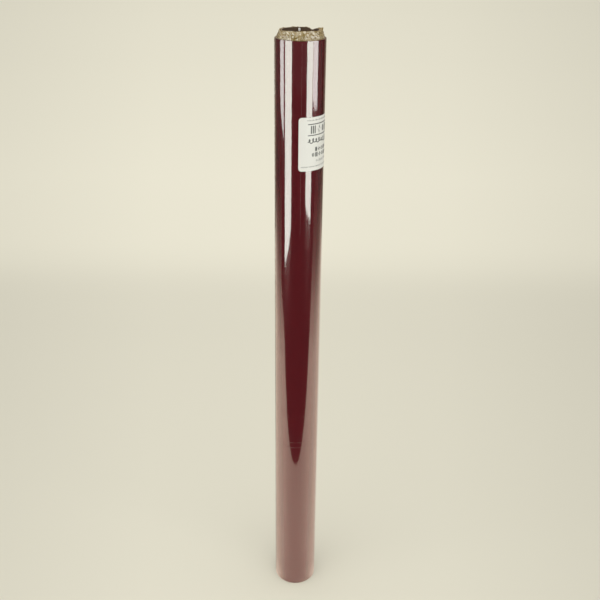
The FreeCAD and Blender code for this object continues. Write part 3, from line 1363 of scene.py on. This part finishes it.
@dataclass
class ProductLabel:
    """The label: paper bent round the sleeve, printed with plain placeholder marks."""

    corner: float = 3.0 * MM
    corner_steps: int = 8
    side_steps: int = 120
    ink_thick: float = 0.012 * MM
    printed: tuple[PrintedRow, ...] = (
        PrintedRow(Mark.SMALL, 2.7 * MM, 7.5 * MM, 1.2 * MM, 0.15 * MM),
        PrintedRow(Mark.RULE, 6.2 * MM, 8.5 * MM, 0.8 * MM, 0.8 * MM),
        PrintedRow(Mark.BLOCKS, 11.1 * MM, 11.2 * MM, 7.0 * MM, 1.15 * MM),
        PrintedRow(Mark.RULE, 16.1 * MM, 8.5 * MM, 0.8 * MM, 0.8 * MM),
        PrintedRow(Mark.SCRIPT, 21.0 * MM, 8.4 * MM, 3.9 * MM, 0.8 * MM),
        PrintedRow(Mark.BLOCKS, 29.0 * MM, 16.2 * MM, 3.7 * MM, 0.75 * MM),
        PrintedRow(Mark.BLOCKS, 33.9 * MM, 12.6 * MM, 4.0 * MM, 0.8 * MM),
        PrintedRow(Mark.SMALL, 39.6 * MM, 17.5 * MM, 2.2 * MM, 0.16 * MM),
        PrintedRow(Mark.SMALL, 44.6 * MM, 2.6 * MM, 1.2 * MM, 0.13 * MM),
    )

    def __post_init__(self) -> None:
        """Read the label's place from the frame."""
        self.inner, self.outer = ring("product_label")
        low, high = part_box("product_label")
        self.foot, self.head = low.z, high.z
        self.start, self.sweep = arc("product_label")
        self.length = self.sweep * self.outer

    def wrap(self, material: bpy.types.Material) -> Recipe:
        """The tree that bends a flat piece round the sleeve: X runs round, Y out, Z up.

        Args:
            material: the piece's finish.

        Returns:
            The tree.
        """
        tree = Recipe(f"bend_{material.name}")
        radius = tree.size("Radius")
        start = tree.size("Start Angle")
        x, y, z = tree.position()
        tree.finish(tree.wind(tree.geometry(), radius + y, start + x / radius, z), material)
        return tree

    def sheet(self) -> bpy.types.Mesh:
        """Cut the flat label, with rounded corners and its paper's thickness.

        Returns:
            Its mesh, with its outer side at Y = 0.
        """
        rounds = [
            self.corner * (1 - math.cos(math.pi / 2 * n / self.corner_steps))
            for n in range(self.corner_steps + 1)
        ]
        inner = [
            self.corner + (self.length - 2 * self.corner) * n / self.side_steps
            for n in range(1, self.side_steps)
        ]
        places = rounds + inner + [self.length - x for x in reversed(rounds)]
        points, faces = [], []
        for x in places:
            end = min(x, self.length - x, self.corner)
            trim = self.corner - math.sqrt(max(self.corner**2 - (self.corner - end) ** 2, 0.0))
            for y in (0.0, self.inner - self.outer):
                points.append((x, y, self.foot + trim))
                points.append((x, y, self.head - trim))
        for column in range(len(places) - 1):
            a = column * 4
            b = a + 4
            faces += [
                (a, b, b + 1, a + 1),
                (a + 2, a + 3, b + 3, b + 2),
                (a, a + 2, b + 2, b),
                (a + 1, b + 1, b + 3, a + 3),
            ]
        last = (len(places) - 1) * 4
        faces += [(0, 1, 3, 2), (last, last + 2, last + 3, last + 1)]
        mesh = bpy.data.meshes.new("label_flat")
        mesh.from_pydata(points, [], faces)
        return mesh

    def marks(self) -> bpy.types.Mesh:
        """Every printed mark of the label, flat."""
        ink = Inking(self.ink_thick)
        for number, row in enumerate(self.printed):
            level = self.head - row.depth
            ink.row(row, number, row.inset, self.length - row.inset, level)
        return ink.mesh()

    def build(self) -> None:
        """Bend the label and its print round the sleeve."""
        paper = PaperFinish(
            "label_paper",
            (0.86, 0.86, 0.82),
            (0.80, 0.80, 0.76),
            roughness=0.55,
            fibre_height=0.003 * MM,
            fibre_scale=1500.0,
            lay=(1.0, 1.0, 1.0),
        ).material()
        place = {"Radius": self.outer, "Start Angle": self.start}
        label = self.wrap(paper).apply("paper_label", place, self.sheet())
        settle(label, "label_paper", "product_label")
        print_piece = self.wrap(InkFinish().material()).apply("label_print", place, self.marks())
        settle(print_piece, "label_paper")


class Inking:
    """Collects flat printed marks, each a thin closed plate lying on the label."""

    ring_steps = 20
    slant_weight = 1.7
    marks_in_word = 6

    def __init__(self, thick: float) -> None:
        """Start with no marks.

        Args:
            thick: how far the ink stands off the paper.
        """
        self.thick = thick
        self.points: list[tuple[float, float, float]] = []
        self.faces: list[tuple[int, ...]] = []

    def ribbon(self, left: Sequence[tuple], right: Sequence[tuple], closed: bool = False) -> None:
        """A plate between two runs of points.

        Args:
            left: the (x, z) points on the left, going along.
            right: as many points on the right.
            closed: whether the plate runs back into its start.
        """
        base = len(self.points)
        for (lx, lz), (rx, rz) in zip(left, right):
            for lift in (self.thick, 0.0):
                self.points += [(lx, lift, lz), (rx, lift, rz)]
        count = len(left)
        spans = count if closed else count - 1
        for n in range(spans):
            a = base + 4 * n
            b = base + 4 * ((n + 1) % count)
            self.faces += [
                (a, a + 1, b + 1, b),
                (a + 2, b + 2, b + 3, a + 3),
                (a, b, b + 2, a + 2),
                (a + 1, a + 3, b + 3, b + 1),
            ]
        if not closed:
            end = base + 4 * (count - 1)
            self.faces += [
                (base, base + 2, base + 3, base + 1),
                (end, end + 1, end + 3, end + 2),
            ]

    def stroke(self, path: Sequence[tuple[float, float]], width: float) -> None:
        """A stroke of even width.

        Args:
            path: the (x, z) points of its middle.
            width: its width.
        """
        left, right = [], []
        for n, (x, z) in enumerate(path):
            before, after = path[max(n - 1, 0)], path[min(n + 1, len(path) - 1)]
            run, rise = after[0] - before[0], after[1] - before[1]
            size = math.hypot(run, rise) or 1.0
            across, up = -rise / size * width / 2, run / size * width / 2
            left.append((x + across, z + up))
            right.append((x - across, z - up))
        self.ribbon(left, right)

    def hoop(self, x: float, z: float, width: float, height: float, stroke: float) -> None:
        """An oval ring.

        Args:
            x: its middle along the label.
            z: its middle's height.
            width: its width.
            height: its height.
            stroke: the weight of its line.
        """
        outer, inner = [], []
        for n in range(self.ring_steps):
            turn = -TURN * n / self.ring_steps
            cos, sin = math.cos(turn), math.sin(turn)
            outer.append((x + cos * width / 2, z + sin * height / 2))
            inner.append((x + cos * (width / 2 - stroke), z + sin * (height / 2 - stroke)))
        self.ribbon(outer, inner, closed=True)

    def lozenge(self, x: float, z: float, width: float, height: float, stroke: float) -> None:
        """A hollow diamond.

        Args:
            x: its middle along the label.
            z: its middle's height.
            width: its width.
            height: its height.
            stroke: the weight of a row's upright lines; the slanting ones here are heavier.
        """
        w, h = width / 2, height / 2
        outer = [(x - w, z), (x, z + h), (x + w, z), (x, z - h)]
        w, h = w - stroke * self.slant_weight, h - stroke * self.slant_weight
        inner = [(x - w, z), (x, z + h), (x + w, z), (x, z - h)]
        self.ribbon(outer, inner, closed=True)

    def row(self, row: PrintedRow, seed: int, start: float, end: float, level: float) -> None:
        """Print one row from start to end.

        Args:
            row: what it holds.
            seed: a number that varies its marks.
            start: where it starts along the label.
            end: where it ends.
            level: the height of its middle.
        """
        if row.kind is Mark.RULE:
            steps = round((end - start) / MM)
            path = [(start + (end - start) * n / steps, level) for n in range(steps + 1)]
            self.stroke(path, row.stroke)
        elif row.kind is Mark.SCRIPT:
            loops = round((end - start) / (3.6 * MM))
            path = []
            for n in range(loops * 16 + 1):
                turn = TURN * n / 16
                tall = 1.0 + 1.1 * noise.noise(Vector((turn * 0.17, seed, 0.5)))
                x = start + (end - start) * n / (loops * 16) + 0.32 * row.height * math.sin(turn)
                z = level + 0.5 * row.height * tall * -math.cos(turn)
                path.append((x, z))
            self.stroke(path, row.stroke)
        else:
            self._marks(row, seed, start, end, level)

    def _marks(
        self, row: PrintedRow, seed: int, start: float, end: float, level: float
    ) -> None:
        """A row of plain marks that stand for print and spell nothing: ovals, diamonds, bars.

        Args:
            row: what it holds.
            seed: a number that varies its marks.
            start: where it starts along the label.
            end: where it ends.
            level: the height of its middle.
        """
        x = start
        number = 0
        while x < end - row.height * 0.5:
            share = noise.cell(Vector((number + 0.5, seed + 0.5, 7.5)))
            width = row.height * (0.66 + 0.26 * share)
            middle = x + width / 2
            kind = (number * 2 + seed) % 3
            if kind == 0:
                self.hoop(middle, level, width, row.height * 0.8, row.stroke)
            elif kind == 1:
                self.lozenge(middle, level, width * 1.1, row.height, row.stroke)
            else:
                for third in (-0.5, 0.0, 0.5):
                    foot = (middle + third * (width - row.stroke), level - row.height / 2)
                    head = (foot[0], level + row.height / 2)
                    self.stroke([foot, head], row.stroke)
            number += 1
            gap = 0.9 if number % self.marks_in_word == 0 else 0.24
            x += width + row.height * gap

    def mesh(self) -> bpy.types.Mesh:
        """All marks as one mesh."""
        mesh = bpy.data.meshes.new("label_marks")
        mesh.from_pydata(self.points, [], self.faces)
        return mesh


# ---------------------------------------------------------------- studio


@dataclass(frozen=True)
class Panel:
    """A tall bright panel that only the gloss sees, bent round the roll: its distance, its
    brightness, and its lower edge as pairs of a bearing, in degrees from the camera's side
    towards +X, and a height."""

    name: str
    distance: float
    brightness: float
    foot: tuple[tuple[float, float], ...]
    colour: tuple[float, float, float] = (0.94, 0.99, 0.93)
    head: float = 1.7


@dataclass(frozen=True)
class Sun:
    """A soft light from one side: where it comes from, in degrees from the camera's side towards
    +X, how high it stands, in degrees, and its strength."""

    name: str
    bearing: float
    height: float
    strength: float


@dataclass
class Studio:
    """The pale floor, the soft light, what the gloss mirrors and the camera."""

    camera_place: tuple[float, float, float] = (0.0022, -0.7304, 0.7174)
    camera_dip: float = 26.235
    camera_roll: float = 0.667
    lens: float = 48.93
    sensor: float = 36.0
    floor_reach: float = 12.0
    floor_colour: tuple[float, float, float] = (0.785, 0.751, 0.622)
    # Painted light and shade: the floor's tone rises and falls with depth from the roll.
    painted_floor_light_and_shade: tuple[tuple[float, float], ...] = (
        (-0.10, 1.0),
        (0.12, 0.97),
        (0.37, 0.94),
        (0.60, 0.918),
        (0.73, 0.922),
        (0.78, 0.935),
        (0.82, 0.955),
        (0.86, 0.980),
        (0.90, 1.005),
        (0.98, 1.035),
        (1.05, 1.045),
        (1.50, 1.055),
        (2.20, 1.025),
        (3.40, 0.995),
        (5.70, 0.965),
    )
    # Painted shade: the floor darkens to both sides, measured across the main camera's view.
    painted_floor_side_shade: tuple[tuple[float, float], ...] = (
        (-0.37, 0.90),
        (-0.18, 0.985),
        (0.0, 1.0),
        (0.18, 0.965),
        (0.37, 0.875),
    )
    table: tuple[tuple[float, float], ...] = (
        (-1.7, -0.05),
        (-0.86, 0.02),
        (-0.75, -0.08),
        (-0.66, -0.17),
        (-0.55, -0.215),
        (-0.2, -0.232),
        (0.2, -0.258),
        (0.8, -0.275),
        (1.7, -0.25),
        (1.7, 1.0),
        (-1.7, 1.0),
    )
    table_colour: tuple[float, float, float] = (0.875, 0.705, 0.575)
    table_lift: float = 0.1 * MM
    wall_half_width: float = 1.7
    wall_place: float = 1.0
    wall_height: float = 1.6
    # The wall is a darker copy of the table's paper: painted shade.
    wall_painted_shade: float = 0.44
    # Painted shade: the table and the wall darken to both sides of the roll.
    painted_aside_shade: tuple[tuple[float, float], ...] = (
        (0.50, 1.0),
        (0.66, 0.72),
        (0.80, 0.47),
        (0.90, 0.30),
        (1.00, 0.22),
        (1.25, 0.12),
        (1.60, 0.0),
    )
    # Painted light and shade: the table and the wall grow lighter and darker with the bearing from
    # the roll.
    painted_bearing_light_and_shade: tuple[tuple[float, float], ...] = (
        (0, 1.0),
        (22, 1.02),
        (45, 1.12),
        (66, 1.26),
        (90, 1.16),
        (108, 1.02),
        (118, 0.94),
        (130, 0.84),
        (145, 0.76),
        (160, 0.70),
        (180, 0.66),
    )
    # Painted contact shadow: the table darkens close behind the roll.
    contact_reach: float = 0.04
    painted_contact_shadow: float = 0.4
    contact_bearing: float = 55.0
    contact_fade: float = 65.0
    suns: tuple[Sun, ...] = (
        Sun("left_key", -42, 42, 0.45),
        Sun("right_key", 28, 42, 0.45),
    )
    sun_spread: float = 55.0
    fill_colour: tuple[float, float, float] = (1.0, 1.0, 0.985)
    fill_strength: float = 0.82
    panels: tuple[Panel, ...] = (
        Panel(
            "left_main",
            0.96,
            4.3,
            ((-69.5, -0.01), (-62, 0.0), (-56, 0.012), (-50, 0.025), (-44, 0.045), (-37, 0.08)),
        ),
        Panel(
            "left_narrow",
            1.0,
            2.9,
            ((-99, 0.35), (-94, 0.31), (-88, 0.29), (-83, 0.275), (-77, 0.26)),
            (0.97, 0.98, 0.97),
        ),
        Panel(
            "right_main",
            1.3,
            4.4,
            ((31, 0.02), (34, 0.0), (44, -0.02), (58.5, -0.03)),
        ),
        Panel(
            "right_outer",
            1.32,
            3.5,
            ((59.5, 0.27), (70, 0.255), (78, 0.25), (85.5, 0.255)),
            (0.97, 0.96, 0.96),
        ),
        Panel("dim_room", 1.5, 0.04, ((-34, 0.3), (30, 0.3))),
        Panel("dim_left", 1.5, 0.05, ((-132, 0.0), (-100.5, 0.0))),
        Panel("dim_right", 1.5, 0.07, ((86.5, 0.0), (118, 0.0))),
        Panel("stand", 1.1, 0.2, ((6.5, 0.0), (9.0, 0.0))),
    )

    def camera(self) -> None:
        """Set up the camera."""
        data = bpy.data.cameras.new("camera")
        data.lens = self.lens
        data.sensor_width = self.sensor
        camera = bpy.data.objects.new("camera", data)
        bpy.context.scene.collection.objects.link(camera)
        tilt = Matrix.Rotation(math.radians(90 - self.camera_dip), 4, "X")
        roll = Matrix.Rotation(math.radians(self.camera_roll), 4, "Z")
        camera.matrix_world = Matrix.Translation(self.camera_place) @ tilt @ roll
        bpy.context.scene.camera = camera

    @staticmethod
    def _tone(shader: Shader, measure: Socket, tones: Sequence[tuple[float, float]]) -> Socket:
        """A grey tone that follows one measure.

        Args:
            shader: the material's tree.
            measure: the measure.
            tones: pairs of a measure and the tone there, up to the brightest tone.

        Returns:
            The tone as a number.
        """
        low, high = tones[0][0], tones[-1][0]
        stops = [
            ((place - low) / (high - low), (tone / BRIGHTEST_TONE,) * 3) for place, tone in tones
        ]
        share = ((measure - low) / (high - low)).clamped()
        ramp = shader.node("ShaderNodeValToRGB", {"stops": stops}, {0: share})
        parts = shader.node("ShaderNodeSeparateColor", {}, {0: ramp["Color"]})
        return parts[0] * BRIGHTEST_TONE

    @staticmethod
    def _paper(
        shader: Shader, tone: Socket, colour: tuple[float, float, float]
    ) -> bpy.types.Material:
        """Matt paper of one colour times a tone.

        Args:
            shader: the material's tree.
            tone: the tone.
            colour: the colour.

        Returns:
            The material.
        """
        grey = shader.node("ShaderNodeCombineColor", {}, {0: tone, 1: tone, 2: tone})[0]
        toned = shader.blend(1.0, grey, (*colour, 1.0), "MULTIPLY")
        surface = shader.node("ShaderNodeBsdfDiffuse", {}, {"Color": toned, "Roughness": 0.0})
        return shader.end(surface[0])

    def _gloss_paper_with_painted_shade(self, name: str, dimming: float) -> bpy.types.Material:
        """The paper of what only the gloss sees, with painted light and shade: it darkens to both
        sides of the roll, a painted contact shadow darkens it close behind the roll, and its tone
        grows lighter and darker with the bearing from the roll.

        Args:
            name: the material's name.
            dimming: how bright it is as a whole.

        Returns:
            The material.
        """
        shader = Shader(name)
        parts = shader.node("ShaderNodeSeparateXYZ", {}, {0: shader.place})
        aside = parts["X"].math("ABSOLUTE")
        bearing = aside.math("ARCTAN2", parts["Y"] * -1.0).math("DEGREES")
        # Painted shade to both sides and painted light and shade by bearing.
        tone = self._tone(shader, aside, self.painted_aside_shade)
        tone = tone * self._tone(shader, bearing, self.painted_bearing_light_and_shade) * dimming
        # Painted contact shadow close behind the roll.
        away = (aside * aside + parts["Y"] * parts["Y"]) ** 0.5
        near = (away / -self.contact_reach).math("EXPONENT")
        behind = ((bearing - self.contact_bearing) / self.contact_fade).clamped()
        tone = tone * (1.0 - near * behind * self.painted_contact_shadow)
        return self._paper(shader, tone, self.table_colour)

    def _stage_piece(
        self,
        name: str,
        points: Sequence[tuple[float, float, float]],
        faces: Sequence[Sequence[int]],
        material: bpy.types.Material,
    ) -> bpy.types.Object:
        """A flat or bent stage piece.

        Args:
            name: its name.
            points: its points.
            faces: its faces, each a loop of point numbers.
            material: its finish.

        Returns:
            The piece.
        """
        piece = new_piece(name, [Vector(point) for point in points], faces, material)
        return piece

    @staticmethod
    def _only_gloss(piece: bpy.types.Object) -> None:
        """Show a stage piece to mirror reflections and to nothing else."""
        piece.visible_camera = False
        piece.visible_diffuse = False
        piece.visible_transmission = False
        piece.visible_volume_scatter = False
        piece.visible_shadow = False

    def floor(self) -> None:
        """The floor that is seen, and what the gloss sees in its place: a table that ends a little
        way in front of the roll, with a wall behind it."""
        far = self.floor_reach
        square = ((-far, -far, 0), (far, -far, 0), (far, far, 0), (-far, far, 0))
        shader = Shader("pale_floor")
        place = shader.node("ShaderNodeSeparateXYZ", {}, {0: shader.place})
        dip = math.radians(self.camera_dip)
        _, back, height = self.camera_place
        ahead = place["Y"] * math.cos(dip) + (height * math.sin(dip) - back * math.cos(dip))
        spread = place["X"] / ahead.math("MAXIMUM", 0.2)
        # Painted light and shade: the floor's tone follows its depth and darkens to both sides of
        # the camera's view.
        tone = self._tone(shader, place["Y"], self.painted_floor_light_and_shade)
        tone = tone * self._tone(shader, spread, self.painted_floor_side_shade)
        paper = self._paper(shader, tone, self.floor_colour)
        floor = self._stage_piece("floor", square, [(0, 1, 2, 3)], paper)
        floor.visible_glossy = False
        rim = [(x, y, self.table_lift) for x, y in self.table]
        table = self._gloss_paper_with_painted_shade("table_paper_painted_shade", 1.0)
        self._only_gloss(self._stage_piece("table", rim, [range(len(rim))], table))
        wide, deep, tall = self.wall_half_width, self.wall_place, self.wall_height
        wall = ((-wide, deep, 0), (wide, deep, 0), (wide, deep, tall), (-wide, deep, tall))
        dim = self._gloss_paper_with_painted_shade("wall_paper_painted_shade", self.wall_painted_shade)
        self._only_gloss(self._stage_piece("back_wall", wall, [(0, 1, 2, 3)], dim))

    def panel(self, panel: Panel) -> None:
        """Stand up one bright panel.

        Args:
            panel: the panel.
        """
        shader = Shader(f"glow_{panel.name}")
        glow = shader.node(
            "ShaderNodeEmission", {}, {"Color": (*panel.colour, 1.0), "Strength": panel.brightness}
        )
        points = []
        for bearing, foot in panel.foot:
            turn = math.radians(bearing)
            x, y = panel.distance * math.sin(turn), -panel.distance * math.cos(turn)
            points += [(x, y, foot), (x, y, panel.head)]
        faces = [(n, n + 2, n + 3, n + 1) for n in range(0, len(points) - 2, 2)]
        piece = self._stage_piece(f"panel_{panel.name}", points, faces, shader.end(glow[0]))
        self._only_gloss(piece)

    def sun(self, sun: Sun) -> None:
        """Hang one soft light, which the gloss doesn't see.

        Args:
            sun: the light.
        """
        data = bpy.data.lights.new(sun.name, "SUN")
        data.energy = sun.strength
        data.angle = math.radians(self.sun_spread)
        light = bpy.data.objects.new(sun.name, data)
        lift, turn = math.radians(sun.height), math.radians(sun.bearing)
        level = math.cos(lift)
        from_side = Vector((math.sin(turn) * level, -math.cos(turn) * level, math.sin(lift)))
        light.rotation_euler = from_side.to_track_quat("Z", "Y").to_euler()
        light.visible_glossy = False
        bpy.context.scene.collection.objects.link(light)

    def lights(self) -> None:
        """Two soft lights from the front and an even fill from all round."""
        for sun in self.suns:
            self.sun(sun)
        world = bpy.data.worlds.new("fill")
        world.use_nodes = True
        background = world.node_tree.nodes["Background"]
        background.inputs["Color"].default_value = (*self.fill_colour, 1.0)
        background.inputs["Strength"].default_value = self.fill_strength
        world.cycles_visibility.glossy = False
        bpy.context.scene.world = world

    def build(self) -> None:
        """Set the stage."""
        scene = bpy.context.scene
        scene.view_settings.view_transform = "Standard"
        scene.view_settings.look = "None"
        self.camera()
        self.floor()
        for panel in self.panels:
            self.panel(panel)
        self.lights()


def main() -> None:
    """Build every piece in order."""
    logging.basicConfig(level=logging.INFO, format="%(name)s %(message)s")
    Studio().build()
    PaperCore().build()
    web = WoundWeb()
    web.build()
    Tapes(web).build()
    ShrinkSleeve().build()
    ProductLabel().build()


if __name__ == "__main__":
    main()
